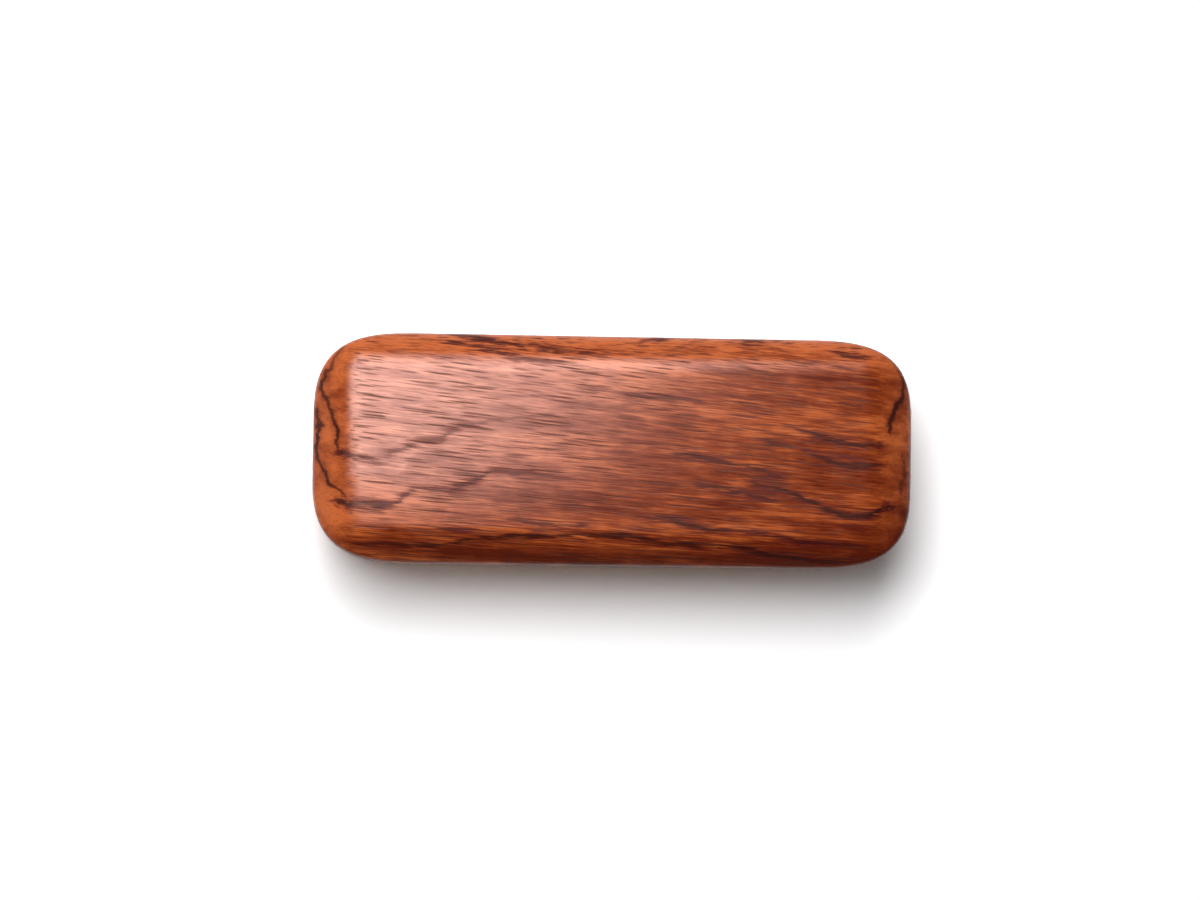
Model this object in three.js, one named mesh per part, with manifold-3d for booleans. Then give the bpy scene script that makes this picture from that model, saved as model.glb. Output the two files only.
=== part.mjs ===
// Suede crepe brush: a lacquered hardwood block with leaves of crepe rubber glued on edge
// into a pocket in its underside. Millimetres, +Z up. The brush stands on the free edges of
// its crepe, and the origin is under its middle, on the surface that it stands on.

import * as THREE from "three";
import { mergeVertices } from "three/addons/utils/BufferGeometryUtils.js";
import Module from "manifold-3d";

const wasm = await Module();
wasm.setup();

// Handle block: its outline seen from above, and its section
const handleLength = 126;
const handleWidth = 48.3;
const handleThickness = 21;
const cornerAlong = 22; // how far a plan corner's curve runs along the long sides
const cornerAcross = 18.4; // how far it runs along the ends
const cornerFullness = 2.87; // exponent of that curve: 2 is an ellipse, more is squarer
const endRoll = 10.4; // how far the top's rolled edge runs in from the ends
const sideRoll = 7.8; // how far it runs in from the long sides
const rollSlope = 48; // degrees at which it meets the walls
const crownRise = 1; // how far the top falls from its middle line to its long sides
const edgeEase = 0.8; // how far the edge between the top and the walls is eased, in and down
const lowerRound = 1.8; // radius of the edge round the underside

// Crepe strips: leaves cut from rubber sheet, side by side along the handle
const stripCount = 8;
const stripLength = 100;
const stripThickness = 4;
const standOut = 15; // free height of the crepe below the handle
const faceLean = 0.3; // how far each face leans in from the handle to the free edge
const leanPower = 1.5; // how late that lean comes: 1 is a straight taper, more is later
const waveLength = 20; // of the ripple along a free edge
const wavePhaseStep = 2.4; // radians by which each strip's ripple is ahead of the last one's
const endRound = 3; // radius of a strip's free corners, seen from the side
const edgeBevel = 0.5; // bevel along both sides of a strip's free edge

// Pocket and glue
const pocketDepth = 8;
const pocketCornerRadius = 2; // left by the cutter
const glueLine = 0.35; // between one strip and the next
const glueBedThickness = 0.5; // the bed of glue under the pocket's roof
const seatClearance = 0.3; // between the pocket and what sits in it

// Smoothness
const cornerSteps = 9;
const longSideSteps = 4;
const rollSteps = 8;
const easeSteps = 2;
const lowerRoundSteps = 3;
const crownSteps = 3;
const stepsPerWave = 5;
const endRoundSteps = 3;
const stripRows = 3;
const filletSteps = 3;
const cutOvershoot = 2; // how far a cutter runs past the face that it enters
const cornerLimit = 0.98; // the most of the handle's half size that a plan corner may take
const crownReach = 0.95; // how much of a plan corner the rings of the top run in

// Heights, widths and radii that follow from the sizes above
const undersideZ = standOut;
const topZ = undersideZ + handleThickness;
const reachAlong = Math.min(cornerAlong, cornerLimit * (handleLength / 2));
const reachAcross = Math.min(cornerAcross, cornerLimit * (handleWidth / 2));
const endRollRadius = endRoll / Math.sin(THREE.MathUtils.degToRad(rollSlope));
const sideRollRadius = sideRoll / Math.sin(THREE.MathUtils.degToRad(rollSlope));
const roofZ = undersideZ + pocketDepth;
const glueBedZ = roofZ - seatClearance - glueBedThickness;
const stripTopZ = glueBedZ - seatClearance;
const stripPitch = stripThickness + glueLine;
const packWidth = stripCount * stripPitch - glueLine;
const packCornerRadius = pocketCornerRadius - seatClearance;

const woodFinish = new THREE.MeshStandardMaterial({ color: 0x9a5230, roughness: 0.25, metalness: 0 });
const crepeFinish = new THREE.MeshStandardMaterial({ color: 0xd6ad66, roughness: 0.75, metalness: 0 });
const glueFinish = new THREE.MeshStandardMaterial({ color: 0xb68a48, roughness: 0.5, metalness: 0 });

// A closed skin over rings of points. The rings run along an axis, each counterclockwise about
// it, and a fan from its middle closes the skin at the first ring and at the last.
function loft(rings, firstMiddle = middleOf(rings[0]), lastMiddle = middleOf(rings.at(-1))) {
  const count = rings[0].length;
  const last = (rings.length - 1) * count;
  const firstFan = rings.length * count;
  const lastFan = firstFan + 1;
  const triangles = [];
  for (let j = 0; j < count; j++) {
    const next = (j + 1) % count;
    for (let row = 0; row < last; row += count) {
      triangles.push(row + j, row + next, row + count + next);
      triangles.push(row + j, row + count + next, row + count + j);
    }
    triangles.push(firstFan, next, j);
    triangles.push(lastFan, last + j, last + next);
  }
  const points = [...rings.flat(), firstMiddle, lastMiddle];
  return new THREE.BufferGeometry().setFromPoints(points).setIndex(triangles);
}

function middleOf(points) {
  const sum = points.reduce((total, p) => total.add(p), new THREE.Vector3());
  return sum.divideScalar(points.length);
}

// A closed geometry as a solid that can be cut.
function solidOf(geometry) {
  const bare = geometry.clone();
  bare.deleteAttribute("normal");
  bare.deleteAttribute("uv");
  const merged = mergeVertices(bare);
  return new wasm.Manifold(
    new wasm.Mesh({
      numProp: 3,
      vertProperties: merged.getAttribute("position").array,
      triVerts: new Uint32Array(merged.index.array),
    }),
  );
}

// A solid as a geometry that can be shown.
function geometryOf(solid) {
  const { vertProperties, triVerts } = solid.getMesh();
  return new THREE.BufferGeometry()
    .setAttribute("position", new THREE.BufferAttribute(vertProperties, 3))
    .setIndex(new THREE.BufferAttribute(triVerts, 1));
}

// A rectangle with round corners, centred on the origin.
function roundedRectangle(length, width, radius) {
  const x = length / 2 - radius;
  const y = width / 2 - radius;
  return new THREE.Shape()
    .absarc(x, y, radius, 0, Math.PI / 2)
    .absarc(-x, y, radius, Math.PI / 2, Math.PI)
    .absarc(-x, -y, radius, Math.PI, 1.5 * Math.PI)
    .absarc(x, -y, radius, 1.5 * Math.PI, 2 * Math.PI);
}

// How far an arc that leaves a line falls from it, at a distance along the line.
function arcDrop(radius, along) {
  return radius - Math.sqrt(radius ** 2 - Math.max(along, 0) ** 2);
}

// The handle's outline seen from above, drawn in by an inset, counterclockwise. Its corners are
// superellipse arcs, so they leave the sides without a change of curvature.
function handleOutline(inset) {
  const x = handleLength / 2 - reachAlong;
  const y = handleWidth / 2 - reachAcross;
  const corner = Array.from({ length: cornerSteps + 1 }, (_, k) => {
    const angle = ((Math.PI / 2) * k) / cornerSteps;
    return new THREE.Vector2(
      x + (reachAlong - inset) * Math.cos(angle) ** (2 / cornerFullness),
      y + (reachAcross - inset) * Math.sin(angle) ** (2 / cornerFullness),
    );
  });
  const farSide = Array.from(
    { length: longSideSteps - 1 },
    (_, k) => new THREE.Vector2(x - (2 * x * (k + 1)) / longSideSteps, y + reachAcross - inset),
  );
  const mirrored = corner.map((p) => new THREE.Vector2(-p.x, p.y)).reverse();
  const half = [...corner, ...farSide, ...mirrored];
  return [...half, ...half.map((p) => new THREE.Vector2(-p.x, -p.y))];
}

// The height of the top at a place. It is shaped by two profiles that cross: one along the
// handle, rolled at both ends, and one across it, crowned and rolled at both sides.
function topHeight(x, y) {
  const endDrop = arcDrop(endRollRadius, Math.abs(x) - (handleLength / 2 - endRoll));
  const sideDrop = arcDrop(sideRollRadius, Math.abs(y) - (handleWidth / 2 - sideRoll));
  return topZ - endDrop - sideDrop - crownRise * (y / (handleWidth / 2)) ** 2;
}

// A level ring of the handle's skin.
function levelRing(inset, z) {
  return handleOutline(inset).map((p) => new THREE.Vector3(p.x, p.y, z));
}

// A ring of the handle's skin that follows the top, or lies a little below it.
function topRing(inset, below) {
  return handleOutline(inset).map((p) => new THREE.Vector3(p.x, p.y, topHeight(p.x, p.y) - below));
}

function handleBlock() {
  const rings = [];
  for (let k = 0; k <= lowerRoundSteps; k++) {
    const angle = ((Math.PI / 2) * k) / lowerRoundSteps;
    const inset = lowerRound * (1 - Math.sin(angle));
    rings.push(levelRing(inset, undersideZ + lowerRound * (1 - Math.cos(angle))));
  }
  for (let k = 0; k <= easeSteps; k++) {
    const share = k / easeSteps;
    rings.push(topRing(edgeEase * share ** 2, edgeEase * (1 - share) ** 2));
  }
  const rolledInset = Math.max(endRoll, sideRoll);
  for (let k = 1; k <= rollSteps; k++) {
    rings.push(topRing(edgeEase + ((rolledInset - edgeEase) * k) / rollSteps, 0));
  }
  const deepestInset = crownReach * Math.min(reachAlong, reachAcross);
  for (let k = 1; k <= crownSteps; k++) {
    rings.push(topRing(rolledInset + ((deepestInset - rolledInset) * k) / crownSteps, 0));
  }
  const block = loft(rings, new THREE.Vector3(0, 0, undersideZ), new THREE.Vector3(0, 0, topZ));
  const pocket = new THREE.ExtrudeGeometry(
    roundedRectangle(stripLength + 2 * seatClearance, packWidth + 2 * seatClearance, pocketCornerRadius),
    { depth: pocketDepth + cutOvershoot, bevelEnabled: false, curveSegments: filletSteps },
  ).translate(0, 0, undersideZ - cutOvershoot);
  return geometryOf(solidOf(block).subtract(solidOf(pocket)));
}

function glueBed() {
  return new THREE.ExtrudeGeometry(roundedRectangle(stripLength, packWidth, packCornerRadius), {
    depth: glueBedThickness,
    bevelEnabled: false,
    curveSegments: filletSteps,
  }).translate(0, 0, glueBedZ);
}

// Stations along a strip: even steps of its ripple, and closer ones in the round ends.
function stripStations() {
  const half = stripLength / 2;
  const ends = Array.from(
    { length: endRoundSteps },
    (_, k) => half - endRound * (1 - Math.cos(((Math.PI / 2) * k) / endRoundSteps)),
  );
  const straight = half - endRound;
  const steps = Math.round((2 * straight * stepsPerWave) / waveLength);
  const middle = Array.from({ length: steps + 1 }, (_, k) => -straight + (2 * straight * k) / steps);
  return [...ends.map((x) => -x), ...middle, ...ends.toReversed()];
}

// One strip's section at a station, counterclockwise seen from the +X end. It is plain in the
// pocket. Below, both faces lean in, and the free edge swings to each side by as much as they do,
// so that neighbours never come closer than the glue line.
function stripSection(x, centreY, phase) {
  const beforeEnd = stripLength / 2 - Math.abs(x);
  const lowZ = arcDrop(endRound, endRound - beforeEnd);
  const packHalf = packWidth / 2 - arcDrop(packCornerRadius, packCornerRadius - beforeEnd);
  const swing = faceLean * Math.sin((2 * Math.PI * x) / waveLength + phase);
  const side = (sign) => {
    const rows = [[0, stripTopZ, 0]];
    for (let k = 0; k <= stripRows; k++) {
      const share = (k / stripRows) ** leanPower;
      rows.push([share, undersideZ - (undersideZ - lowZ - edgeBevel) * (k / stripRows), 0]);
    }
    rows.push([1, lowZ, edgeBevel]);
    return rows.map(([share, z, draw]) => {
      const face = centreY + share * swing + sign * (stripThickness / 2 - share * faceLean);
      const y = Math.max(-packHalf, Math.min(packHalf, face)) - sign * draw;
      return new THREE.Vector3(x, y, z);
    });
  };
  return [...side(-1), ...side(1).reverse()];
}

function crepeStrip(index) {
  const centreY = (index - (stripCount - 1) / 2) * stripPitch;
  const phase = index * wavePhaseStep;
  const rings = stripStations().map((x) => stripSection(x, centreY, phase));
  return loft(rings);
}

const brush = new THREE.Group();

function addPiece(name, geometry, material) {
  const mesh = new THREE.Mesh(geometry, material);
  mesh.name = name;
  brush.add(mesh);
}

addPiece("handle_block", handleBlock(), woodFinish);
addPiece("glue_bed", glueBed(), glueFinish);
for (let index = 0; index < stripCount; index++) {
  addPiece(`crepe_strip_${index + 1}`, crepeStrip(index), crepeFinish);
}

export default brush;
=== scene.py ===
"""Suede crepe brush: models, finishes and lights the handle and the crepe over the CAD frame."""

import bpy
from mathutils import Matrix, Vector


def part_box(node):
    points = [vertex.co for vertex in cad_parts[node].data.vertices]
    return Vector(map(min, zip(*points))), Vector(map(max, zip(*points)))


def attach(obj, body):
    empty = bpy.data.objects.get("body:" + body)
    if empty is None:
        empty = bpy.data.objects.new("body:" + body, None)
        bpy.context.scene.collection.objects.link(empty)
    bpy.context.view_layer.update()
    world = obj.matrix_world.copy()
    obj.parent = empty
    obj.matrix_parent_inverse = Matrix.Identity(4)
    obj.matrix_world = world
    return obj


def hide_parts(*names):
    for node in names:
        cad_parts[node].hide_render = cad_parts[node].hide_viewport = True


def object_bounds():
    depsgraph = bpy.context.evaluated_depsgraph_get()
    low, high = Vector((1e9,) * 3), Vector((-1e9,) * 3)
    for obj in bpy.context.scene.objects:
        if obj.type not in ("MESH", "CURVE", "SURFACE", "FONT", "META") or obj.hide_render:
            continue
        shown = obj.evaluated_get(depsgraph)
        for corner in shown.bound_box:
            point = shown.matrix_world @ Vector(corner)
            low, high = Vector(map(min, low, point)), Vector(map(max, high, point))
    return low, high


bl_info = {
    "name": "Suede Crepe Brush",
    "version": (1, 0, 0),
    "blender": (4, 5, 0),
    "location": "View3D > Sidebar > Crepe Brush",
    "description": "Models and finishes a wooden suede brush with crepe rubber strips",
    "category": "Object",
}

import math

import bmesh
import bpy
from bpy.props import FloatProperty, FloatVectorProperty, PointerProperty

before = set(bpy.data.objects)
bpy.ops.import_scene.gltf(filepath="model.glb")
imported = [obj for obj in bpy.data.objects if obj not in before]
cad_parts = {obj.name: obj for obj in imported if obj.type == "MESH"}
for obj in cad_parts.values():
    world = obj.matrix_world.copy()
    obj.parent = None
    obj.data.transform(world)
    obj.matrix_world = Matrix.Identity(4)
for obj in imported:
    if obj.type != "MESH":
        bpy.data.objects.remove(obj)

CAD_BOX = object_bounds()
HANDLE_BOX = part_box("handle_block")
GLUE_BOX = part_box("glue_bed")
STRIP_NODES = sorted(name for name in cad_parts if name.startswith("crepe_strip_"))
MM = 0.001

# Depths below the handle's highest line: the foot of its rolled edges, and the rim that the view is
# measured at.
ROLL_DEPTH = 6 * MM
RIM_DEPTH = 5 * MM

# How finely the handle's curves are cut up.
CORNER_SEGMENTS = 28
TOP_RINGS = 28
LOWER_ROUND_RINGS = 6
EDGE_SEGMENTS = 5
POCKET_SEGMENTS = 8
SMOOTH_ANGLE = math.radians(30)

# A vein's stroke fades out over this share of the handle beyond its ends, or over less in a short gap.
STROKE_FADE = 0.03
GAP_SHARE = 0.45

# The floor's side, and how far from the middle it fades to the white backdrop, in metres.
FLOOR_SIZE = 12
FLOOR_FADE = (0.1, 0.2)

# Where the room's light comes from, as a level direction.
LIT_SIDE = (-0.6, 0.8)

# The camera's sensor, in millimetres.
SENSOR_WIDTH = 36

# The handle's main veins, seen from above: each lane runs along the handle and holds strokes that don't
# overlap in x. A stroke is a few points (x, y, strength), in millimetres from the handle's middle.
LONG_VEINS = (
    (
        ((-33, 23.9, 0.5), (-29.6, 23.3, 0.9), (-17.3, 21.1, 0.5), (-5.7, 20.4, 0.5),
         (-1.5, 20.1, 0.2)),
        ((5.9, 23.1, 0.4), (9.7, 23.6, 0.5)),
        ((27.8, 23.6, 0.6), (32.7, 23.9, 0.5)),
        ((47.9, 20.9, 0.6), (52.3, 20.3, 0.5)),
    ),
    (
        ((-38.5, 22.7, 0.3), (-28.1, 21, 0.5), (-20, 19, 0.6), (-10.1, 17.8, 0.4), (-3.6, 16.4, 0.3)),
        ((2, 12.3, 0.4), (10.2, 11.3, 0.6), (16.4, 10.8, 0.5)),
        ((24.8, 10.1, 0.2), (29.3, 9.5, 0.5), (31.8, 8.9, 0.5)),
        ((46.8, 10.6, 0.4), (50.4, 10.2, 0.3)),
    ),
    (
        ((-41.9, 12.1, 0.25), (-38.3, 12.4, 0.3), (-33.3, 12, 0.3)),
        ((-7.9, 12.6, 0.25), (-2.7, 12.7, 0.4)),
        ((36.3, 5.4, 0.5), (42.2, 3.7, 0.9), (49.2, 2.1, 0.9), (55.3, 1.8, 0.7)),
    ),
    (
        ((-47.6, -1.4, 0.5), (-43.4, 0.3, 0.7), (-37.3, 1.6, 0.6), (-32.7, 4.2, 0.5),
         (-20.3, 6.7, 0.4), (-14, 6.9, 0.5)),
        ((31.3, 2.3, 0.5), (36.3, 1.3, 0.4)),
        ((40.1, 0.3, 0.5), (44.8, -1.5, 0.8), (49, -2.3, 0.9), (54.7, -2.2, 0.7)),
    ),
    (
        ((-56.5, -1.4, 0.8), (-52.5, -2.6, 0.6), (-49.3, -3.2, 0.5)),
        ((-32.6, -5.5, 0.5), (-29.6, -5.6, 0.6)),
        ((13.3, -0.4, 0.7), (19.9, -1.6, 0.7), (29, -3.2, 0.7), (34.1, -5, 0.5)),
    ),
    (
        ((-57, -11.3, 0.8), (-54.9, -12.1, 1), (-47.1, -12, 0.9), (-41.6, -9, 0.6), (-34.7, -8.7, 0.7),
         (-28.2, -6.2, 0.8), (-24.4, -4.5, 0.7), (-16.1, -5.3, 0.6), (-11.9, -6, 0.4)),
        ((18.3, -6.9, 0.7), (24.2, -8.1, 0.8), (30.3, -9.3, 0.6), (34.2, -10.1, 0.4)),
    ),
    (
        ((29.5, -6.6, 0.7), (35.6, -7.7, 0.9), (42, -10.6, 0.9), (47.3, -12.7, 0.9), (52.3, -13, 0.9),
         (57.6, -10.8, 0.8)),
    ),
    (
        ((-35.8, -16.7, 0.7), (-30.3, -16.8, 0.6)),
        ((-20.9, -14.8, 0.6), (-15.8, -15.6, 0.5), (-7.6, -15.7, 0.7)),
        ((6.3, -14, 0.6), (10.6, -14.2, 0.7), (17.1, -15.6, 1), (20.9, -16.2, 0.9), (25.4, -16.1, 0.5),
         (35.3, -17.7, 0.7), (45, -19, 0.6), (51.6, -19.1, 0.3)),
    ),
)

# A thinner vein along the near edge, as one more such lane, with less haze.
EDGE_VEIN = (
    ((-55.6, -19.9, 0.35), (-43, -20.4, 0.7), (-30, -19.2, 0.85), (-20, -18.4, 0.9), (-8.4, -18, 0.85),
     (2, -18, 0.85), (11.9, -19.2, 0.8), (24.4, -19.7, 0.9), (33.5, -21.3, 0.95), (46.6, -22.6, 0.7),
     (51.6, -21.9, 0.4)),
)

# Veins that cross the rolled ends, as lanes of strokes of points (y, x, strength) in millimetres.
END_VEINS = (
    (
        ((-10.2, -55.8, 0.6), (-7.5, -59.6, 1), (-4.2, -61.1, 0.9), (-0.6, -62.2, 0.9),
         (2, -61.8, 1), (7.4, -62.3, 0.8)),
    ),
    (
        ((-0.3, -57.8, 0.8), (3.3, -58, 1), (8.7, -60, 0.8), (12.7, -61.1, 1),
         (17, -59.5, 0.6), (20.6, -57, 0.5)),
    ),
    (
        ((-8.1, 60.3, 0.5), (-2.6, 61.1, 0.5), (0, 61, 0.4)),
        ((5.2, 57.8, 0.9), (9.4, 59, 1), (12.6, 60.7, 0.9), (16.4, 60.8, 0.7), (20.2, 58.9, 0.5)),
    ),
)


class HandleSettings(bpy.types.PropertyGroup):
    """Sizes and colours of the wooden handle"""

    length: FloatProperty(
        name="Length",
        description="Handle from end to end",
        unit="LENGTH", min=0.06, default=HANDLE_BOX[1].x - HANDLE_BOX[0].x,
    )
    width: FloatProperty(
        name="Width",
        description="Handle across its long sides",
        unit="LENGTH", min=0.03, default=HANDLE_BOX[1].y - HANDLE_BOX[0].y,
    )
    end_reach: FloatProperty(
        name="Corner Along",
        description="How far a plan corner's curve runs along the long sides",
        unit="LENGTH", default=22 * MM, min=0.001,
    )
    side_reach: FloatProperty(
        name="Corner Across",
        description="How far a plan corner's curve runs along the ends",
        unit="LENGTH", default=18.4 * MM, min=0.001,
    )
    corner_fullness: FloatProperty(
        name="Corner Fullness",
        description="Exponent of the corner's curve: 2 is an ellipse, more is squarer",
        default=2.87, min=1.5, max=6,
    )
    end_roll: FloatProperty(
        name="End Roll",
        description="How far the top's rolled edge runs in from the ends",
        unit="LENGTH", default=10.4 * MM,
    )
    side_roll: FloatProperty(
        name="Side Roll",
        description="How far the top's rolled edge runs in from the long sides",
        unit="LENGTH", default=7.8 * MM,
    )
    roll_slope: FloatProperty(
        name="Roll Slope",
        description="Slope at which the rolled edges meet the walls",
        subtype="ANGLE", default=math.radians(48), max=math.radians(80),
    )
    crown_rise: FloatProperty(
        name="Crown",
        description="How far the top falls from its middle line to its long sides",
        unit="LENGTH", default=1.0 * MM,
    )
    edge_ease: FloatProperty(
        name="Edge Ease",
        description="How far the edge between the top and the walls is eased",
        unit="LENGTH", default=0.8 * MM,
    )
    lower_round: FloatProperty(
        name="Lower Round",
        description="Radius of the edge round the underside",
        unit="LENGTH", default=1.8 * MM,
    )
    pocket_play: FloatProperty(
        name="Pocket Play",
        description="Gap between the pocket's wall and the crepe",
        unit="LENGTH", default=0.3 * MM,
    )
    pocket_corner: FloatProperty(
        name="Pocket Corner",
        description="Radius that the cutter leaves in the pocket's corners",
        unit="LENGTH", default=2 * MM,
    )
    gold: FloatVectorProperty(
        name="Golden Wood",
        description="Colour of the palest grain",
        subtype="COLOR", min=0, max=1, default=(0.68, 0.152, 0.038),
    )
    red: FloatVectorProperty(
        name="Red Wood",
        description="Colour of most of the grain",
        subtype="COLOR", min=0, max=1, default=(0.33, 0.055, 0.012),
    )
    brown: FloatVectorProperty(
        name="Brown Wood",
        description="Colour of the darkest grain between veins",
        subtype="COLOR", min=0, max=1, default=(0.14, 0.015, 0.004),
    )
    haze: FloatVectorProperty(
        name="Vein Haze",
        description="Colour that the veins shade off into",
        subtype="COLOR", min=0, max=1, default=(0.12, 0.013, 0.011),
    )
    vein: FloatVectorProperty(
        name="Vein",
        description="Colour of the dark veins",
        subtype="COLOR", min=0, max=1, default=(0.026, 0.004, 0.004),
    )
    pore: FloatVectorProperty(
        name="Pore",
        description="Colour of the open pores",
        subtype="COLOR", min=0, max=1, default=(0.060, 0.008, 0.004),
    )


class CrepeSettings(bpy.types.PropertyGroup):
    """Texture and colours of the crepe strips and their glue"""

    grain_size: FloatProperty(
        name="Grain Size",
        description="Size of the voxels that the strips are remeshed to",
        unit="LENGTH", default=0.45 * MM, min=0.0002,
    )
    crinkle_size: FloatProperty(
        name="Crinkle Size",
        description="Width of one crinkle in the crepe",
        unit="LENGTH", default=2.2 * MM,
    )
    crinkle_depth: FloatProperty(
        name="Crinkle Depth",
        description="Depth of the crinkles in the crepe",
        unit="LENGTH", default=0.9 * MM,
    )
    crinkle_level: FloatProperty(
        name="Crinkle Level",
        description="Share of the crinkle's depth that sinks into the strip",
        subtype="FACTOR", default=0.88, min=0, max=1,
    )
    honey: FloatVectorProperty(
        name="Honey Crepe",
        description="Colour of the palest crepe",
        subtype="COLOR", min=0, max=1, default=(0.82, 0.46, 0.17),
    )
    amber: FloatVectorProperty(
        name="Amber Crepe",
        description="Colour of the darkest crepe",
        subtype="COLOR", min=0, max=1, default=(0.58, 0.25, 0.065),
    )
    speck: FloatVectorProperty(
        name="Speck",
        description="Colour of the bark specks in the crepe",
        subtype="COLOR", min=0, max=1, default=(0.13, 0.055, 0.02),
    )
    glue: FloatVectorProperty(
        name="Glue",
        description="Colour of the glue bed",
        subtype="COLOR", min=0, max=1, default=(0.42, 0.23, 0.07),
    )


class StageSettings(bpy.types.PropertyGroup):
    """Camera, light and floor"""

    camera_height: FloatProperty(
        name="Camera Height",
        description="Camera above the handle's rim",
        unit="LENGTH", default=0.75,
    )
    camera_side: FloatVectorProperty(
        name="Camera Side",
        description="How far the camera stands off the brush's middle",
        unit="LENGTH", size=2, default=(-0.05, -0.03),
    )
    view_aim: FloatVectorProperty(
        name="View Aim",
        description="Where the camera aims, from the brush's middle",
        unit="LENGTH", size=2, default=(-2.5 * MM, -0.5 * MM),
    )
    view_width: FloatProperty(
        name="View Width",
        description="What the picture's width spans at the handle's rim",
        unit="LENGTH", default=252.0 * MM,
    )
    view_turn: FloatProperty(
        name="View Turn",
        description="Turn of the camera about the view",
        subtype="ANGLE", default=math.radians(0.75),
    )
    softbox_place: FloatVectorProperty(
        name="Softbox Place",
        description="Middle of the softbox, from the middle of the brush's top",
        unit="LENGTH", default=(-0.047, 0.411, 0.6),
    )
    softbox_turn: FloatProperty(
        name="Softbox Turn",
        description="Turn of the softbox about the vertical",
        subtype="ANGLE", default=math.radians(-17),
    )
    softbox_width: FloatProperty(
        name="Softbox Width",
        description="Short side of the softbox",
        unit="LENGTH", default=0.46,
    )
    softbox_length: FloatProperty(
        name="Softbox Length",
        description="Long side of the softbox",
        unit="LENGTH", default=0.96,
    )
    softbox_power: FloatProperty(
        name="Softbox Power",
        description="Power of the softbox",
        unit="POWER", default=12.1,
    )
    room_light: FloatProperty(
        name="Room Light",
        description="Strength of the room's light, from the far left",
        default=0.32, min=0,
    )
    floor: FloatVectorProperty(
        name="Floor",
        description="Colour of the floor",
        subtype="COLOR", min=0, max=1, default=(0.8, 0.8, 0.81),
    )
    floor_lift: FloatProperty(
        name="Floor Lift",
        description="How many times paler the camera sees the floor",
        default=2.15, min=0,
    )


class NodeBench:
    """Adds nodes to one node tree, and links or sets what their inputs are given"""

    def __init__(self, tree):
        self.tree = tree
        tree.nodes.clear()

    def add(self, kind, inputs=None, **settings):
        node = self.tree.nodes.new(kind)
        for name, value in settings.items():
            setattr(node, name, value)
        for key, value in (inputs or {}).items():
            self.feed(node.inputs[key], value)
        return node

    def feed(self, socket, value):
        if isinstance(value, bpy.types.NodeSocket):
            self.tree.links.new(value, socket)
        else:
            socket.default_value = value

    def math(self, operation, *values):
        return self.add("ShaderNodeMath", dict(enumerate(values)), operation=operation).outputs[0]

    def rise(self, value, low, high):
        """0 below low and 1 above high, with a smooth step between; low above high falls instead."""
        inputs = {"Value": value, "From Min": low, "From Max": high}
        return self.add("ShaderNodeMapRange", inputs, interpolation_type="SMOOTHSTEP").outputs[0]

    def blend(self, share, first, second):
        """The first colour turned into the second by a share."""
        return self.add("ShaderNodeMix", {0: share, 6: first, 7: second}, data_type="RGBA").outputs[2]

    def group(self, tree, **inputs):
        return self.add("ShaderNodeGroup", inputs, node_tree=tree).outputs

    def stretched(self, vector, grain, offset):
        """A position measured in grains, which may be longer one way than another."""
        inputs = {
            "Vector": vector,
            "Scale": [1 / size for size in grain],
            "Location": (offset, 2 * offset, 3 * offset),
        }
        return self.add("ShaderNodeMapping", inputs).outputs[0]

    def noise(self, vector, grain, offset, detail):
        inputs = {"Vector": self.stretched(vector, grain, offset), "Scale": 1.0, "Detail": detail}
        return self.add("ShaderNodeTexNoise", inputs).outputs[0]

    def cells(self, vector, grain, offset, **settings):
        inputs = {"Vector": self.stretched(vector, grain, offset), "Scale": 1.0}
        return self.add("ShaderNodeTexVoronoi", inputs, **settings).outputs

    def sway(self, *shares):
        """The sum of noises taken about zero, each times its weight."""
        total = 0.0
        for value, weight in shares:
            total = self.math("MULTIPLY_ADD", self.math("SUBTRACT", value, 0.5), weight, total)
        return total

    def curve(self, value, points, handle):
        """A curve through points (x, y) from 0 to 1, in order of x, level beyond its ends."""
        node = self.add("ShaderNodeFloatCurve", {"Value": value})
        node.mapping.extend = "HORIZONTAL"
        track = node.mapping.curves[0].points
        track[0].location = points[0]
        track[1].location = points[-1]
        for x, y in points[1:-1]:
            track.new(x, y)
        for knot in track:
            knot.handle_type = handle
        node.mapping.update()
        return node.outputs[0]

    def ramp(self, value, *stops):
        """Colours at places from 0 to 1."""
        node = self.add("ShaderNodeValToRGB", {"Fac": value})
        track = node.color_ramp.elements
        while len(track) < len(stops):
            track.new(1.0)
        for stop, (place, colour) in zip(track, stops):
            stop.position = place
            stop.color = opaque(colour)
        return node.outputs[0]


def opaque(colour):
    return (*colour, 1.0)


def new_material(name):
    material = bpy.data.materials.new(name)
    material.use_nodes = True
    return material, NodeBench(material.node_tree)


def surface(bench, inputs):
    """Ends a material in a Principled BSDF."""
    shader = bench.add("ShaderNodeBsdfPrincipled", inputs)
    bench.add("ShaderNodeOutputMaterial", {"Surface": shader.outputs[0]})


def millimetres(bench):
    """Object coordinates in millimetres, so that a grain's size reads as a length."""
    place = bench.add("ShaderNodeTexCoord").outputs["Object"]
    return bench.add("ShaderNodeVectorMath", {0: place, "Scale": 1 / MM}, operation="SCALE").outputs[0]


def split(bench, vector):
    return bench.add("ShaderNodeSeparateXYZ", {0: vector}).outputs


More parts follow.
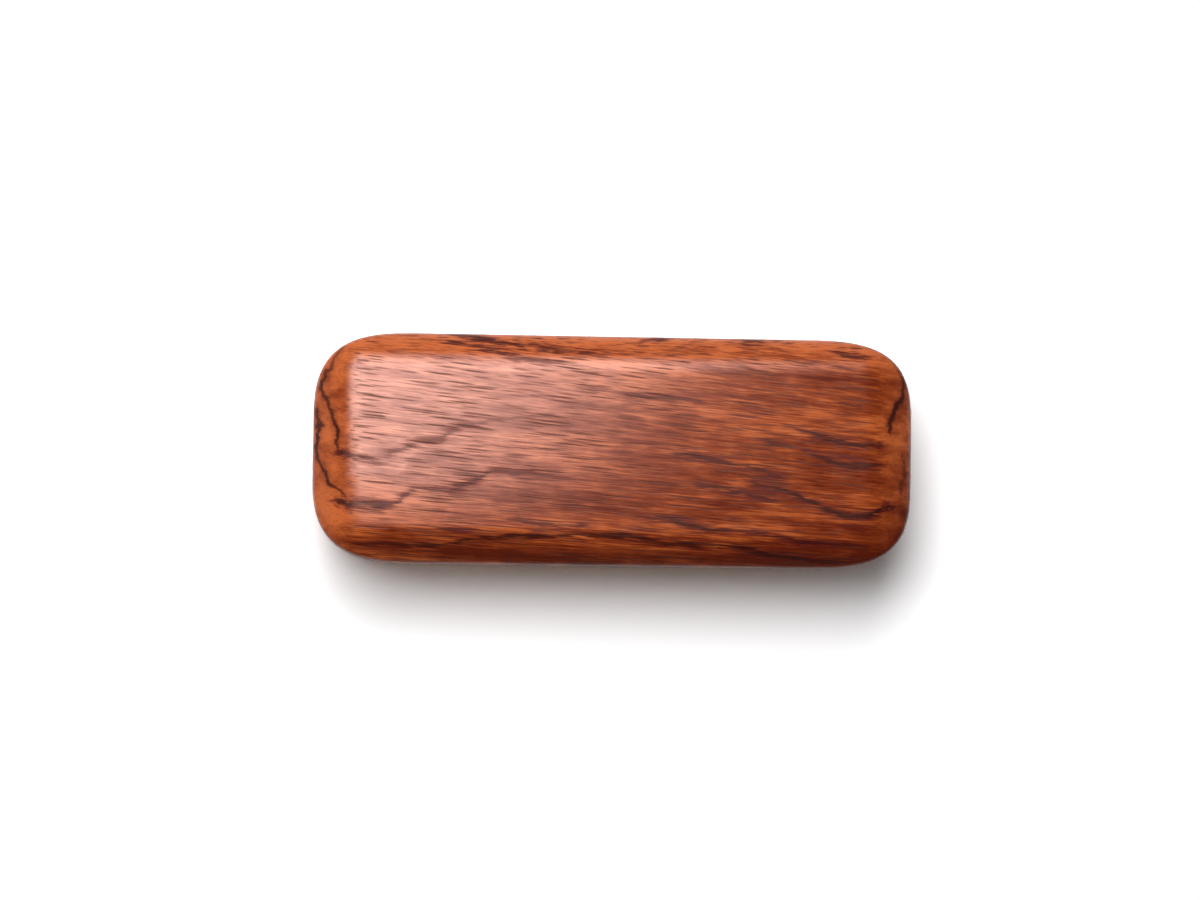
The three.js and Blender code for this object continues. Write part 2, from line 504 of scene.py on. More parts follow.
def vein_line_group():
    """A node group that makes a vein's dark core and haze from the distance to its middle"""
    group = bpy.data.node_groups.new("vein_line", "ShaderNodeTree")
    for name in ("Distance", "Strength", "Fray"):
        group.interface.new_socket(name, in_out="INPUT", socket_type="NodeSocketFloat")
    for name in ("Core", "Haze"):
        group.interface.new_socket(name, in_out="OUTPUT", socket_type="NodeSocketFloat")
    bench = NodeBench(group)
    distance, strength, fray = bench.add("NodeGroupInput").outputs[:3]
    half_width = bench.math("MULTIPLY_ADD", strength, 0.55, 0.06)
    ratio = bench.math("DIVIDE", bench.math("ABSOLUTE", distance), half_width)
    core = bench.rise(bench.math("MULTIPLY_ADD", fray, 0.5, ratio), 1.4, 0.3)
    haze = bench.rise(bench.math("MULTIPLY_ADD", fray, 1.4, ratio), 3.6, 0.2)
    core = bench.math("MULTIPLY", core, strength)
    frayed = bench.math("MULTIPLY", strength, bench.math("MULTIPLY_ADD", fray, -0.5, 1.0))
    haze = bench.math("MULTIPLY", haze, bench.rise(frayed, 0.0, 0.75))
    bench.add("NodeGroupOutput", {"Core": core, "Haze": haze})
    return group


def cloud_group():
    """A node group of soft and fine clouds, for materials whose tone is uneven"""
    group = bpy.data.node_groups.new("uneven_tone", "ShaderNodeTree")
    group.interface.new_socket("Position", in_out="INPUT", socket_type="NodeSocketVector")
    group.interface.new_socket("Size", in_out="INPUT", socket_type="NodeSocketFloat")
    for name in ("Soft", "Fine"):
        group.interface.new_socket(name, in_out="OUTPUT", socket_type="NodeSocketFloat")
    bench = NodeBench(group)
    position, size = bench.add("NodeGroupInput").outputs[:2]
    scale = bench.math("DIVIDE", 1.0, size)
    fine_scale = bench.math("MULTIPLY", scale, 6.0)
    soft_inputs = {"Vector": position, "Scale": scale, "Detail": 2.0}
    fine_inputs = {"Vector": position, "Scale": fine_scale, "Detail": 4.0}
    soft = bench.add("ShaderNodeTexNoise", soft_inputs).outputs[0]
    fine = bench.add("ShaderNodeTexNoise", fine_inputs).outputs[0]
    bench.add("NodeGroupOutput", {"Soft": soft, "Fine": fine})
    return group


def vein_lane(bench, along, across, lane, along_half, across_half, fray, line):
    """The vein of one lane, from where its strokes run and how strong they are there"""
    strokes = [
        [(0.5 + 0.5 * a / along_half, 0.5 + 0.5 * b / across_half, s) for a, b, s in stroke]
        for stroke in lane
    ]
    middle, strength = [], []
    for number, stroke in enumerate(strokes):
        start, stop = stroke[0][0], stroke[-1][0]
        before = strokes[number - 1][-1][0] if number else -1.0
        after = strokes[number + 1][0][0] if number + 1 < len(strokes) else 2.0
        middle += [knot[:2] for knot in stroke]
        strength.append((start - min(STROKE_FADE, GAP_SHARE * (start - before)), 0.0))
        strength += [(knot[0], knot[2]) for knot in stroke]
        strength.append((stop + min(STROKE_FADE, GAP_SHARE * (after - stop)), 0.0))
    place = bench.math("MULTIPLY_ADD", along, 0.5 / along_half, 0.5)
    run = bench.curve(place, middle, "AUTO_CLAMPED")
    run = bench.math("MULTIPLY_ADD", run, 2 * across_half, -across_half)
    return bench.group(
        line,
        Distance=bench.math("SUBTRACT", across, run),
        Strength=bench.curve(place, strength, "VECTOR"),
        Fray=fray,
    )


def along_fibres(bench, x, y, z):
    """Positions along the fibres, which fall a little to the right, more so on the far side"""
    fall = bench.math("MULTIPLY_ADD", y, 0.0015, 0.085)
    across = bench.math("MULTIPLY_ADD", x, fall, y)
    rising = bench.math("MULTIPLY_ADD", x, 0.03, z)
    return bench.add("ShaderNodeCombineXYZ", {0: x, 1: across, 2: rising}).outputs[0]


def painted_light_and_shade(bench, side, end, calm, high):
    """Painted light and shade in the wood's tone, at a place whose side and end run from -1 to 1 over
    the handle

    The tone is lighter, as painted light, on the far side, at both ends and most at the left end. It is
    darker, as painted shade, along the near edge and at the near right corner. The walls differ less
    than the top does.
    """
    # Painted light: lighter towards the far side and its roll, and towards the left end.
    paler = bench.math("MULTIPLY", side, bench.math("MULTIPLY_ADD", side, 0.42, -0.06))
    paler = bench.math("MULTIPLY_ADD", bench.rise(side, 0.7, 0.95), 0.2, paler)
    paler = bench.math("MULTIPLY", paler, calm)
    paler = bench.math("MULTIPLY_ADD", end, -0.12, paler)
    # Painted shade: darker along the near edge and at the near right corner.
    shaded_near_edge = bench.rise(side, -0.62, -0.95)
    shaded_near_right = bench.rise(bench.math("SUBTRACT", end, side), 1.15, 1.6)
    painted_shade = bench.math("MAXIMUM", shaded_near_edge, bench.math("MULTIPLY", shaded_near_right, 0.6))
    paler = bench.math("MULTIPLY_ADD", painted_shade, -0.58, paler)
    paler = bench.math("MULTIPLY", paler, bench.math("MULTIPLY_ADD", high, 0.7, 0.3))
    return bench.math("MULTIPLY_ADD", calm, -0.3, bench.math("ADD", paler, 0.23))


def wood_veins(bench, place, fibre, fray, half_length, half_width):
    """Cores and haze of the top's veins, which are jagged along the fibres and fray at their sides"""
    x, y, _ = split(bench, place)
    spikes = bench.noise(fibre, (4.5, 0.45, 0.45), 4.3, 2)
    wander = bench.noise(fibre, (12, 3, 3), 9.1, 1)
    end_spikes = bench.noise(place, (3, 2.2, 2.2), 6.1, 3)
    jagged_y = bench.math("ADD", y, bench.sway((spikes, 2.2), (wander, 1.2)))
    jagged_x = bench.math("ADD", x, bench.sway((end_spikes, 3.0), (wander, 1.0)))
    line = vein_line_group()
    lengthwise = (x, jagged_y), (half_length, half_width)
    crosswise = (y, jagged_x), (half_width, half_length)
    full_haze, thin_haze = 1.0, 0.5
    lanes = [(lane, lengthwise, full_haze) for lane in LONG_VEINS]
    lanes += [(lane, crosswise, thin_haze) for lane in END_VEINS]
    lanes.append((EDGE_VEIN, lengthwise, thin_haze))
    core, haze = 0.0, 0.0
    for lane, (axes, halves), share in lanes:
        lane_core, lane_haze = vein_lane(bench, *axes, lane, *halves, fray, line)
        core = bench.math("MAXIMUM", core, lane_core)
        haze = bench.math("MAXIMUM", haze, bench.math("MULTIPLY", lane_haze, share))
    return core, haze


def pore_dashes(bench, fibre, length, width, offset):
    """Short dark dashes along the fibres, where a saw cut opened the wood's vessels"""
    cells = bench.cells(fibre, (length, width, width), offset)
    dash = bench.rise(cells["Distance"], 0.38, 0.2)
    chance = bench.rise(split(bench, cells["Color"])[0], 0.2, 0.5)
    return bench.math("MULTIPLY", dash, chance)


def wood_pores(bench, fibre, calm, high):
    """Open pores, long and short, fainter on the walls and at the ends"""
    long_dashes = pore_dashes(bench, fibre, 22, 0.5, 2.2)
    short_dashes = bench.math("MULTIPLY", pore_dashes(bench, fibre, 11, 0.42, 6.4), 0.75)
    dashes = bench.math("MAXIMUM", long_dashes, short_dashes)
    dashes = bench.math("MULTIPLY", dashes, bench.math("MULTIPLY_ADD", high, 0.45, 0.55))
    return bench.math("MULTIPLY", dashes, calm)


def lacquered_wood(settings, clouds):
    """Bubinga-like hardwood under a gloss lacquer: fibres, veins and pores in solid wood"""
    material, bench = new_material("lacquered_wood")
    place = millimetres(bench)
    x, y, z = split(bench, place)
    half_length = settings.length / MM / 2
    half_width = settings.width / MM / 2
    side = bench.math("DIVIDE", y, half_width)
    end = bench.math("DIVIDE", x, half_length)
    fibre = along_fibres(bench, x, y, z)
    thread = bench.noise(fibre, (6, 0.28, 0.28), 8.3, 2)
    strand = bench.noise(fibre, (14, 0.75, 0.75), 3.1, 3)
    ribbon = bench.noise(fibre, (34, 2.6, 2.6), 7.7, 2)
    drift = bench.noise(fibre, (55, 13, 13), 1.9, 1)
    mottle = bench.group(clouds, Position=place, Size=5.0)

    # The top and its rolled edges lie above the roll's foot, and the walls below it.
    roll_foot = (HANDLE_BOX[1].z - ROLL_DEPTH) / MM
    high = bench.rise(z, roll_foot - 3, roll_foot)
    low = bench.math("SUBTRACT", 1.0, high)

    # The ends cut across the fibres, so their grain is calmer.
    calm = bench.rise(bench.math("ABSOLUTE", x), half_length - 4, half_length - 12)
    calm = bench.math("MULTIPLY_ADD", calm, 0.75, 0.25)
    fine = bench.math("MULTIPLY", bench.sway((thread, 1.1), (strand, 0.65)), calm)
    # The tone holds painted light and shade: lighter on the far side and at the ends, darker in the near
    # shade.
    tone = bench.math("ADD", fine, painted_light_and_shade(bench, side, end, calm, high))
    tone = bench.math("ADD", tone, 0.5)
    tone = bench.math("ADD", tone, bench.sway((ribbon, 1.0), (drift, 0.7), (mottle["Soft"], 0.5)))
    grain = bench.ramp(tone, (0.14, settings.brown), (0.5, settings.red), (0.88, settings.gold))

    # The veins of the top end at its edge, and the walls show the layers that they cut through.
    fray = bench.math("MULTIPLY", bench.sway((thread, 3.5), (strand, 4.0)), calm)
    core, haze = wood_veins(bench, place, fibre, fray, half_length, half_width)
    haze = bench.math("MULTIPLY", haze, high)
    core = bench.math("MULTIPLY", core, high)
    layers = bench.noise(fibre, (45, 16, 2.4), 5.5, 2)
    from_layer = bench.math("ABSOLUTE", bench.math("SUBTRACT", layers, 0.5))
    layer_line = bench.math("MULTIPLY", bench.rise(from_layer, 0.035, 0.005), low)
    core = bench.math("MULTIPLY_ADD", layer_line, 0.45, core)

    dashes = wood_pores(bench, fibre, calm, high)
    colour = bench.blend(bench.math("MULTIPLY", haze, 0.92), grain, opaque(settings.haze))
    colour = bench.blend(bench.math("MULTIPLY", dashes, 0.85), colour, opaque(settings.pore))
    colour = bench.blend(bench.math("MULTIPLY", core, 0.9), colour, opaque(settings.vein))

    # The lacquer shines warm over the wood, more on pale wood and on the top than elsewhere, and sinks
    # into pores and veins.
    shine = bench.rise(tone, -0.4, 1.4)
    shine = bench.math("MULTIPLY", shine, bench.math("MULTIPLY_ADD", dashes, -0.85, 1.0))
    shine = bench.math("MULTIPLY", shine, bench.math("MULTIPLY_ADD", haze, -0.95, 1.0))
    shine = bench.math("MULTIPLY", shine, bench.math("MULTIPLY_ADD", high, 0.9, 0.1))
    dull = bench.math("MULTIPLY_ADD", haze, 0.1, bench.math("MULTIPLY", dashes, 0.27))
    relief = bench.math("MULTIPLY_ADD", dashes, -0.8, bench.math("MULTIPLY", strand, 0.5))
    bump = bench.add("ShaderNodeBump", {"Height": relief, "Strength": 0.5, "Distance": 0.04 * MM})
    surface(bench, {
        "Base Color": colour,
        "Roughness": bench.math("ADD", dull, 0.19),
        "IOR": 1.5,
        "Specular IOR Level": 0.65,
        "Specular Tint": (1.0, 0.5, 0.4, 1.0),
        "Coat Weight": shine,
        "Coat Roughness": 0.17,
        "Coat IOR": 1.5,
        "Normal": bump.outputs[0],
    })
    return material


def crepe_rubber(settings, clouds):
    """Natural crepe rubber: honey and amber patches, a little see-through, each strip of its own tone"""
    material, bench = new_material("crepe_rubber")
    place = millimetres(bench)
    low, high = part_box(STRIP_NODES[0])[0].y / MM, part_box(STRIP_NODES[-1])[1].y / MM
    pitch = (high - low) / len(STRIP_NODES)
    from_first = bench.math("SUBTRACT", split(bench, place)[1], low)
    strip = bench.math("FLOOR", bench.math("DIVIDE", from_first, pitch))
    own_tone = bench.add("ShaderNodeTexWhiteNoise", {"W": strip}, noise_dimensions="1D").outputs["Value"]
    patches = bench.group(clouds, Position=place, Size=6.0)
    grit = bench.noise(place, (0.5, 0.5, 0.5), 2.7, 3)
    clouded = bench.sway((own_tone, 0.35), (patches["Soft"], 0.9), (patches["Fine"], 0.7), (grit, 0.3))
    tone = bench.math("ADD", 0.55, clouded)
    colour = bench.ramp(tone, (0.1, settings.amber), (0.8, settings.honey))
    cells = bench.cells(place, (3, 3, 3), 1.3)
    dot = bench.rise(cells["Distance"], 0.17, 0.07)
    speck = bench.math("MULTIPLY", dot, bench.rise(split(bench, cells["Color"])[0], 0.5, 0.6))
    colour = bench.blend(bench.math("MULTIPLY", speck, 0.7), colour, opaque(settings.speck))
    pebble = bench.cells(place, (1.5, 1.5, 1.5), 4.4, feature="SMOOTH_F1")["Distance"]
    relief = bench.math("ADD", pebble, patches["Fine"])
    relief = bench.math("ADD", bench.math("MULTIPLY", grit, 0.4), relief)
    bump = bench.add("ShaderNodeBump", {"Height": relief, "Strength": 0.8, "Distance": 0.6 * MM})
    surface(bench, {
        "Base Color": colour,
        "Roughness": bench.math("MULTIPLY_ADD", patches["Fine"], 0.3, 0.35),
        "Subsurface Weight": 0.25,
        "Subsurface Radius": (1.0, 0.5, 0.2),
        "Subsurface Scale": 3 * MM,
        "Normal": bump.outputs[0],
    })
    return material


def glue(settings, clouds):
    """Set contact glue, unevenly thick"""
    material, bench = new_material("glue")
    place = millimetres(bench)
    film = bench.group(clouds, Position=place, Size=3.0)
    tone = bench.math("ADD", 0.5, bench.sway((film["Soft"], 1.0), (film["Fine"], 0.5)))
    dark = [0.5 * part for part in settings.glue]
    bump = bench.add("ShaderNodeBump", {"Height": film["Soft"], "Strength": 0.5, "Distance": 0.2 * MM})
    surface(bench, {
        "Base Color": bench.ramp(tone, (0.2, dark), (0.8, settings.glue)),
        "Roughness": bench.math("MULTIPLY_ADD", film["Fine"], 0.3, 0.3),
        "Normal": bump.outputs[0],
    })
    return material


def shared_clouds():
    return bpy.data.node_groups.get("uneven_tone") or cloud_group()


def finish_piece(piece, node, material):
    """Gives a piece its material, and its place in the frame."""
    piece.data.materials.clear()
    piece.data.materials.append(material)
    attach(piece, "root")
    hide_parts(node)


def apply_modifier(piece, kind, **settings):
    bpy.context.view_layer.objects.active = piece
    bpy.ops.object.modifier_add(type=kind)
    modifier = piece.modifiers[-1]
    for name, value in settings.items():
        setattr(modifier, name, value)
    bpy.ops.object.modifier_apply(modifier=modifier.name)


def select_faces(piece, test):
    """In edit mode, selects the faces that pass a test and nothing else."""
    bpy.ops.mesh.select_all(action="DESELECT")
    mesh = bmesh.from_edit_mesh(piece.data)
    for face in mesh.faces:
        if test(face):
            face.select_set(True)
    mesh.select_flush_mode()
    bmesh.update_edit_mesh(piece.data)


def draw_corners(piece, settings, before, after):
    """Draws the selected ring's four corners towards their centres, from one inset to the next."""
    reaches = settings.end_reach, settings.side_reach
    ratio = [(reach - after) / (reach - before) for reach in reaches]
    centre_x = settings.length / 2 - settings.end_reach
    centre_y = settings.width / 2 - settings.side_reach
    mesh = bmesh.from_edit_mesh(piece.data)
    ring = [vertex.index for vertex in mesh.verts if vertex.select]
    for sign_x in (-1, 1):
        for sign_y in (-1, 1):
            bpy.ops.mesh.select_all(action="DESELECT")
            mesh = bmesh.from_edit_mesh(piece.data)
            mesh.verts.ensure_lookup_table()
            for index in ring:
                vertex = mesh.verts[index]
                if vertex.co.x * sign_x > 0 and vertex.co.y * sign_y > 0:
                    vertex.select_set(True)
            bpy.ops.transform.resize(
                value=(*ratio, 1), center_override=(sign_x * centre_x, sign_y * centre_y, 0)
            )
    bpy.ops.mesh.select_all(action="DESELECT")
    mesh = bmesh.from_edit_mesh(piece.data)
    mesh.verts.ensure_lookup_table()
    for index in ring:
        mesh.verts[index].select_set(True)
    mesh.select_flush(True)
    bmesh.update_edit_mesh(piece.data)


def raise_ring(piece, settings, rise, before, after):
    """Extrudes the selected face up or down, and draws it in from one inset to the next."""
    bpy.ops.mesh.extrude_region_move(TRANSFORM_OT_translate={"value": (0, 0, rise)})
    draw_corners(piece, settings, before, after)


def arc_drop(reach, slope, along):
    """How far a rolled edge has fallen, at a distance along it, if it reaches the slope at its end."""
    radius = reach / math.sin(slope)
    return radius - math.sqrt(radius**2 - max(along, 0) ** 2)


def top_drop(settings, place):
    """How far the top lies below its highest line: rolled at the ends, crowned and rolled across."""
    slope = settings.roll_slope
    end = arc_drop(settings.end_roll, slope, abs(place.x) - settings.length / 2 + settings.end_roll)
    side = arc_drop(settings.side_roll, slope, abs(place.y) - settings.width / 2 + settings.side_roll)
    return end + side + settings.crown_rise * (2 * place.y / settings.width) ** 2


def raise_block(settings):
    """A new handle in edit mode: its outline, raised to a block with the flat top selected"""
    low, top = HANDLE_BOX[0].z, HANDLE_BOX[1].z
    bpy.ops.object.select_all(action="DESELECT")
    bpy.ops.mesh.primitive_plane_add(size=1, location=(0, 0, 0))
    handle = bpy.context.object
    handle.name = "wooden_handle"
    bpy.ops.object.mode_set(mode="EDIT")
    bpy.ops.mesh.select_mode(type="VERT")
    bpy.ops.mesh.select_all(action="SELECT")
    squareness = settings.end_reach / settings.side_reach
    bpy.ops.transform.resize(value=(settings.length, settings.width * squareness, 1))
    bpy.ops.mesh.bevel(
        offset_type="OFFSET", offset=settings.end_reach, segments=CORNER_SEGMENTS, affect="VERTICES",
        profile=math.exp(-2 * math.log(2) / settings.corner_fullness),
    )
    bpy.ops.mesh.select_all(action="SELECT")
    bpy.ops.transform.resize(value=(1, 1 / squareness, 1))
    bpy.ops.transform.translate(value=(0, 0, low + settings.lower_round))
    raise_ring(handle, settings, top - low - settings.lower_round, 0, 0)
    return handle


def lay_top_rings(handle, settings):
    """Flat rings over the top, which its shaping bends, and a ridge that closes them along the middle"""
    first = 1.5 * settings.edge_ease
    deepest = 0.97 * min(settings.end_reach, settings.side_reach)
    inset = 0
    for step in range(TOP_RINGS + 1):
        drawn = first + (deepest - first) * step / TOP_RINGS
        raise_ring(handle, settings, 0, inset, drawn)
        inset = drawn
    for narrowing in (0.5, 0):
        bpy.ops.mesh.extrude_region_move(TRANSFORM_OT_translate={"value": (0, 0, 0)})
        bpy.ops.transform.resize(value=(0.95, narrowing, 1), center_override=(0, 0, 0))


def round_underside(handle, settings):
    """The round edge below the walls, as rings drawn in from the block's lower face"""
    select_faces(handle, lambda face: face.normal.z < -0.9 and len(face.verts) > 4)
    inset, depth = 0, 0
    for step in range(1, LOWER_ROUND_RINGS + 1):
        angle = math.pi / 2 * step / LOWER_ROUND_RINGS
        drawn = settings.lower_round * (1 - math.cos(angle))
        sunk = settings.lower_round * math.sin(angle)
        raise_ring(handle, settings, depth - sunk, inset, drawn)
        inset, depth = drawn, sunk


def weld(threshold):
    """In edit mode, merges the vertices that lie on each other."""
    bpy.ops.mesh.select_all(action="SELECT")
    bpy.ops.mesh.remove_doubles(threshold=threshold)


def shape_top(handle, settings):
    """Sinks the flat top to its crown and rolled edges."""
    top = HANDLE_BOX[1].z
    deepest = top - HANDLE_BOX[0].z
    shaping = handle.vertex_groups.new(name="shaping")
    for vertex in handle.data.vertices:
        if vertex.co.z > top - 0.01 * MM:
            shaping.add([vertex.index], top_drop(settings, vertex.co) / deepest, "REPLACE")
    apply_modifier(
        handle, "DISPLACE", direction="Z", mid_level=0.0, strength=-deepest, vertex_group="shaping"
    )


def mill_pocket(handle, settings):
    """Takes the pocket for the crepe out of the handle's underside."""
    pocket = model_pocket_cutter(settings)
    bpy.ops.object.select_all(action="DESELECT")
    handle.select_set(True)
    apply_modifier(handle, "BOOLEAN", operation="DIFFERENCE", solver="EXACT", object=pocket)
    bpy.data.objects.remove(pocket)


def model_handle(settings):
    """The handle: a block of its outline, shaped along and across, eased at its edges and pocketed"""
    handle = raise_block(settings)
    lay_top_rings(handle, settings)
    round_underside(handle, settings)
    weld(0.002 * MM)
    bpy.ops.mesh.select_all(action="SELECT")
    bpy.ops.mesh.normals_make_consistent(inside=False)
    bpy.ops.object.mode_set(mode="OBJECT")
    shape_top(handle, settings)
    ease_top_edge(handle, settings)
    mill_pocket(handle, settings)
    bpy.context.view_layer.objects.active = handle
    handle.select_set(True)
    bpy.ops.object.shade_smooth_by_angle(angle=SMOOTH_ANGLE)
    apply_modifier(handle, "WEIGHTED_NORMAL", keep_sharp=True)
    return handle


def ease_top_edge(handle, settings):
    """Bevels the edge where the shaped top meets the walls."""
    middle = (HANDLE_BOX[0].z + HANDLE_BOX[1].z) / 2
    upright = 0.01
    bpy.ops.object.mode_set(mode="EDIT")
    bpy.ops.mesh.select_mode(type="EDGE")
    bpy.ops.mesh.select_all(action="DESELECT")
    mesh = bmesh.from_edit_mesh(handle.data)
    for edge in mesh.edges:
        walls = [face for face in edge.link_faces if abs(face.normal.z) < upright]
        if len(walls) == 1 and min(vertex.co.z for vertex in edge.verts) > middle:
            edge.select_set(True)
    bmesh.update_edit_mesh(handle.data)
    bpy.ops.mesh.bevel(
        offset_type="OFFSET", offset=settings.edge_ease, segments=EDGE_SEGMENTS, affect="EDGES",
        clamp_overlap=False,
    )
    bpy.ops.object.mode_set(mode="OBJECT")


def model_pocket_cutter(settings):
    """The block of air that the cutter takes out of the handle's underside"""
    low, high = GLUE_BOX
    overrun = 2 * MM
    roof = high.z + settings.pocket_play
    floor = HANDLE_BOX[0].z - overrun
    bpy.ops.object.select_all(action="DESELECT")
    bpy.ops.mesh.primitive_plane_add(size=1, location=(0, 0, 0))
    cutter = bpy.context.object
    bpy.ops.object.mode_set(mode="EDIT")
    bpy.ops.mesh.select_all(action="SELECT")
    play = 2 * settings.pocket_play
    bpy.ops.transform.resize(value=(high.x - low.x + play, high.y - low.y + play, 1))
    bpy.ops.mesh.bevel(
        offset_type="OFFSET", offset=settings.pocket_corner, segments=POCKET_SEGMENTS, affect="VERTICES"
    )
    bpy.ops.mesh.select_all(action="SELECT")
    bpy.ops.transform.translate(value=(0, 0, floor))
    bpy.ops.mesh.extrude_region_move(TRANSFORM_OT_translate={"value": (0, 0, roof - floor)})
    bpy.ops.mesh.select_all(action="SELECT")
    bpy.ops.mesh.normals_make_consistent(inside=False)
    bpy.ops.object.mode_set(mode="OBJECT")
    return cutter


def crinkle_texture(name, size):
    texture = bpy.data.textures.new(name, "CLOUDS")
    texture.noise_scale = size
    texture.noise_depth = 3
    texture.noise_type = "SOFT_NOISE"
    return texture


def model_strip(node_name, settings, texture):
    """One crepe strip: the CAD strip's sheet, remeshed fine and crinkled, mostly inwards"""
    bpy.ops.object.select_all(action="DESELECT")
    name = node_name.replace("crepe_strip", "crepe_leaf")
    strip = bpy.data.objects.new(name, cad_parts[node_name].data.copy())
    bpy.context.collection.objects.link(strip)
    strip.select_set(True)
    bpy.context.view_layer.objects.active = strip
    bpy.ops.object.mode_set(mode="EDIT")
    weld(0.001 * MM)
    bpy.ops.object.mode_set(mode="OBJECT")
    apply_modifier(strip, "REMESH", mode="VOXEL", voxel_size=settings.grain_size, use_smooth_shade=True)
    apply_modifier(
        strip, "DISPLACE", texture=texture, texture_coords="LOCAL", mid_level=settings.crinkle_level,
        strength=settings.crinkle_depth,
    )
    bpy.ops.object.shade_smooth()
    return strip


class CREPEBRUSH_OT_handle(bpy.types.Operator):
    """Model the lacquered wooden handle"""

    bl_idname = "crepe_brush.handle"
    bl_label = "Wooden Handle"
    bl_options = {"REGISTER", "UNDO"}

    def execute(self, context):
        settings = context.scene.crepe_brush_handle
        handle = model_handle(settings)
        finish_piece(handle, "handle_block", lacquered_wood(settings, shared_clouds()))
        return {"FINISHED"}


class CREPEBRUSH_OT_strips(bpy.types.Operator):
    """Model the crepe rubber strips"""

    bl_idname = "crepe_brush.strips"
    bl_label = "Crepe Strips"
    bl_options = {"REGISTER", "UNDO"}

    def execute(self, context):
        settings = context.scene.crepe_brush_crepe
        material = crepe_rubber(settings, shared_clouds())
        texture = crinkle_texture("crepe_crinkle", settings.crinkle_size)
        for node_name in STRIP_NODES:
            strip = model_strip(node_name, settings, texture)
            finish_piece(strip, node_name, material)
        return {"FINISHED"}


class CREPEBRUSH_OT_glue(bpy.types.Operator):
    """Finish the bed of glue between the handle and the strips"""

    bl_idname = "crepe_brush.glue"
    bl_label = "Glue Bed"
    bl_options = {"REGISTER", "UNDO"}

    def execute(self, context):
        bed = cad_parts["glue_bed"]
        bed.data.materials.clear()
        bed.data.materials.append(glue(context.scene.crepe_brush_crepe, shared_clouds()))
        return {"FINISHED"}


class CREPEBRUSH_OT_stage(bpy.types.Operator):
    """Set up the floor, the softbox, the room's light and the camera"""

    bl_idname = "crepe_brush.stage"
    bl_label = "Stage"
    bl_options = {"REGISTER", "UNDO"}

    def execute(self, context):
        settings = context.scene.crepe_brush_stage
        lay_floor(settings)
        hang_softbox(settings)
        light_room(context.scene, settings)
        place_camera(context.scene, settings)
        context.scene.view_settings.view_transform = "Standard"
        return {"FINISHED"}


def lay_floor(settings):
    """A pale floor that the camera sees as white, with the brush's shadow on it"""
    bpy.ops.object.select_all(action="DESELECT")
    bpy.ops.mesh.primitive_plane_add(size=FLOOR_SIZE, location=(0, 0, 0))
    floor = bpy.context.object
    floor.name = "floor"
    material, bench = new_material("floor")
    seen = bench.add("ShaderNodeLightPath").outputs["Is Camera Ray"]
    lifted = [settings.floor_lift * part for part in settings.floor]
    colour = bench.blend(seen, opaque(settings.floor), opaque(lifted))
    cloth = bench.add("ShaderNodeBsdfDiffuse", {"Color": colour})
    place = bench.add("ShaderNodeTexCoord").outputs["Object"]
    distance = bench.add("ShaderNodeVectorMath", {0: place}, operation="LENGTH").outputs["Value"]
    far = bench.math("MULTIPLY", seen, bench.rise(distance, *FLOOR_FADE))
    backdrop = bench.add("ShaderNodeEmission")
    shader = bench.add("ShaderNodeMixShader", {0: far, 1: cloth.outputs[0], 2: backdrop.outputs[0]})
    bench.add("ShaderNodeOutputMaterial", {"Surface": shader.outputs[0]})
    floor.data.materials.append(material)


def hang_softbox(settings):
    """One softbox beyond the brush, brightest towards its near right, where it hangs over the brush"""
    x, y, height = settings.softbox_place
    bpy.ops.object.light_add(
        type="AREA", location=(x, y, CAD_BOX[1].z + height), rotation=(0, 0, settings.softbox_turn)
    )
    softbox = bpy.context.object
    softbox.name = "softbox"
    softbox.data.shape = "RECTANGLE"
    softbox.data.size = settings.softbox_width
    softbox.data.size_y = settings.softbox_length
    softbox.data.energy = settings.softbox_power
    softbox.data.use_nodes = True
    softbox.visible_camera = False
    bench = NodeBench(softbox.data.node_tree)
    across, along, _ = split(bench, bench.add("ShaderNodeNewGeometry").outputs["Parametric"])
    sides = bench.math("MULTIPLY", bench.rise(across, -0.1, 0.36), bench.rise(across, 0.98, 0.72))
    ends = bench.math("MULTIPLY", bench.rise(along, 0.0, 0.1), bench.rise(along, 0.9, 0.25))
    cloth = bench.add("ShaderNodeEmission", {"Strength": bench.math("MULTIPLY", sides, ends)})
    bench.add("ShaderNodeOutputLight", {"Surface": cloth.outputs[0]})


def light_room(scene, settings):
    """A room that is lit from the far left, and dark towards the near right and overhead"""
    world = bpy.data.worlds.new("room")
    world.use_nodes = True
    bench = NodeBench(world.node_tree)
    x, y, z = split(bench, bench.add("ShaderNodeTexCoord").outputs["Generated"])
    turned = bench.math("MULTIPLY_ADD", y, LIT_SIDE[1], bench.math("MULTIPLY", x, LIT_SIDE[0]))
    share = bench.math("MULTIPLY_ADD", bench.rise(turned, -0.9, 0.9), 0.8, 0.2)
    overhead = bench.rise(z, 0.35, 0.85)
    share = bench.math("MULTIPLY", share, bench.math("MULTIPLY_ADD", overhead, -0.85, 1.0))
    strength = bench.math("MULTIPLY", share, settings.room_light)
    seen = bench.add("ShaderNodeLightPath").outputs["Is Camera Ray"]
    strength = bench.math("MAXIMUM", strength, seen)
    room = bench.add("ShaderNodeBackground", {"Color": (1, 1, 1, 1), "Strength": strength})
    bench.add("ShaderNodeOutputWorld", {"Surface": room.outputs[0]})
    scene.world = world


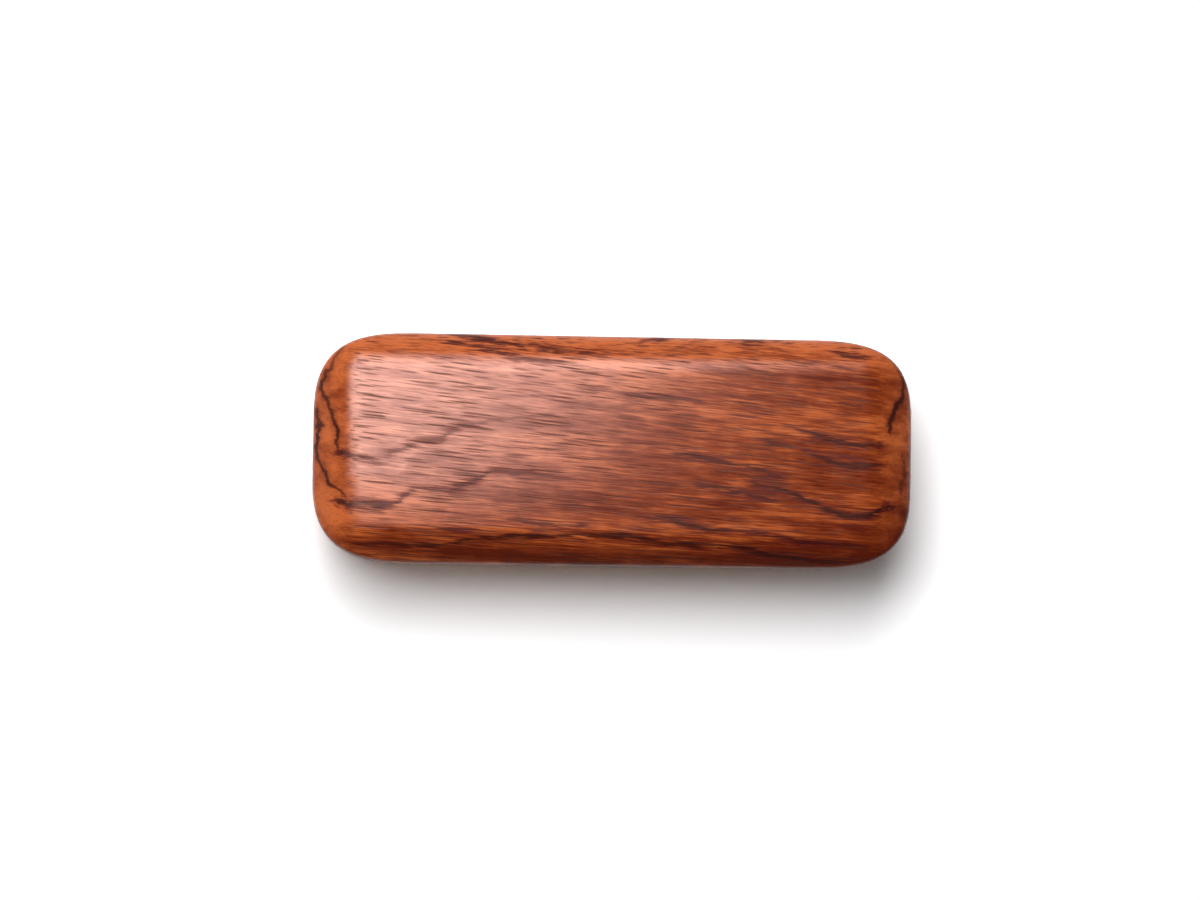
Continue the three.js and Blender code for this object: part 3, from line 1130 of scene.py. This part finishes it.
def place_camera(scene, settings):
    """A camera above the brush, a little off the vertical and turned a little about the view"""
    rim = CAD_BOX[1].z - RIM_DEPTH
    aim_x, aim_y = settings.view_aim
    side_x, side_y = settings.camera_side
    height = settings.camera_height
    bpy.ops.object.camera_add(
        location=(aim_x + side_x, aim_y + side_y, rim + height),
        rotation=(-math.atan2(side_y, height), math.atan2(side_x, height), settings.view_turn),
    )
    camera = bpy.context.object
    camera.data.sensor_fit = "HORIZONTAL"
    camera.data.sensor_width = SENSOR_WIDTH
    camera.data.lens = SENSOR_WIDTH * math.hypot(height, side_x, side_y) / settings.view_width
    camera.data.clip_start = 0.01
    scene.camera = camera


class CREPEBRUSH_PT_panel(bpy.types.Panel):
    """Lists the brush's settings and operators"""

    bl_idname = "CREPEBRUSH_PT_panel"
    bl_label = "Crepe Brush"
    bl_space_type = "VIEW_3D"
    bl_region_type = "UI"
    bl_category = "Crepe Brush"

    def draw(self, context):
        sections = (
            (context.scene.crepe_brush_handle, (CREPEBRUSH_OT_handle,)),
            (context.scene.crepe_brush_crepe, (CREPEBRUSH_OT_strips, CREPEBRUSH_OT_glue)),
            (context.scene.crepe_brush_stage, (CREPEBRUSH_OT_stage,)),
        )
        for settings, operators in sections:
            box = self.layout.box()
            for name in settings.__annotations__:
                box.prop(settings, name)
            for operator in operators:
                box.operator(operator.bl_idname)


CLASSES = (
    HandleSettings,
    CrepeSettings,
    StageSettings,
    CREPEBRUSH_OT_handle,
    CREPEBRUSH_OT_strips,
    CREPEBRUSH_OT_glue,
    CREPEBRUSH_OT_stage,
    CREPEBRUSH_PT_panel,
)


def register():
    for cls in CLASSES:
        bpy.utils.register_class(cls)
    bpy.types.Scene.crepe_brush_handle = PointerProperty(type=HandleSettings)
    bpy.types.Scene.crepe_brush_crepe = PointerProperty(type=CrepeSettings)
    bpy.types.Scene.crepe_brush_stage = PointerProperty(type=StageSettings)


def unregister():
    del bpy.types.Scene.crepe_brush_handle
    del bpy.types.Scene.crepe_brush_crepe
    del bpy.types.Scene.crepe_brush_stage
    for cls in reversed(CLASSES):
        bpy.utils.unregister_class(cls)


def main():
    register()
    bpy.ops.crepe_brush.stage()
    bpy.ops.crepe_brush.handle()
    bpy.ops.crepe_brush.strips()
    bpy.ops.crepe_brush.glue()


if __name__ == "__main__":
    main()
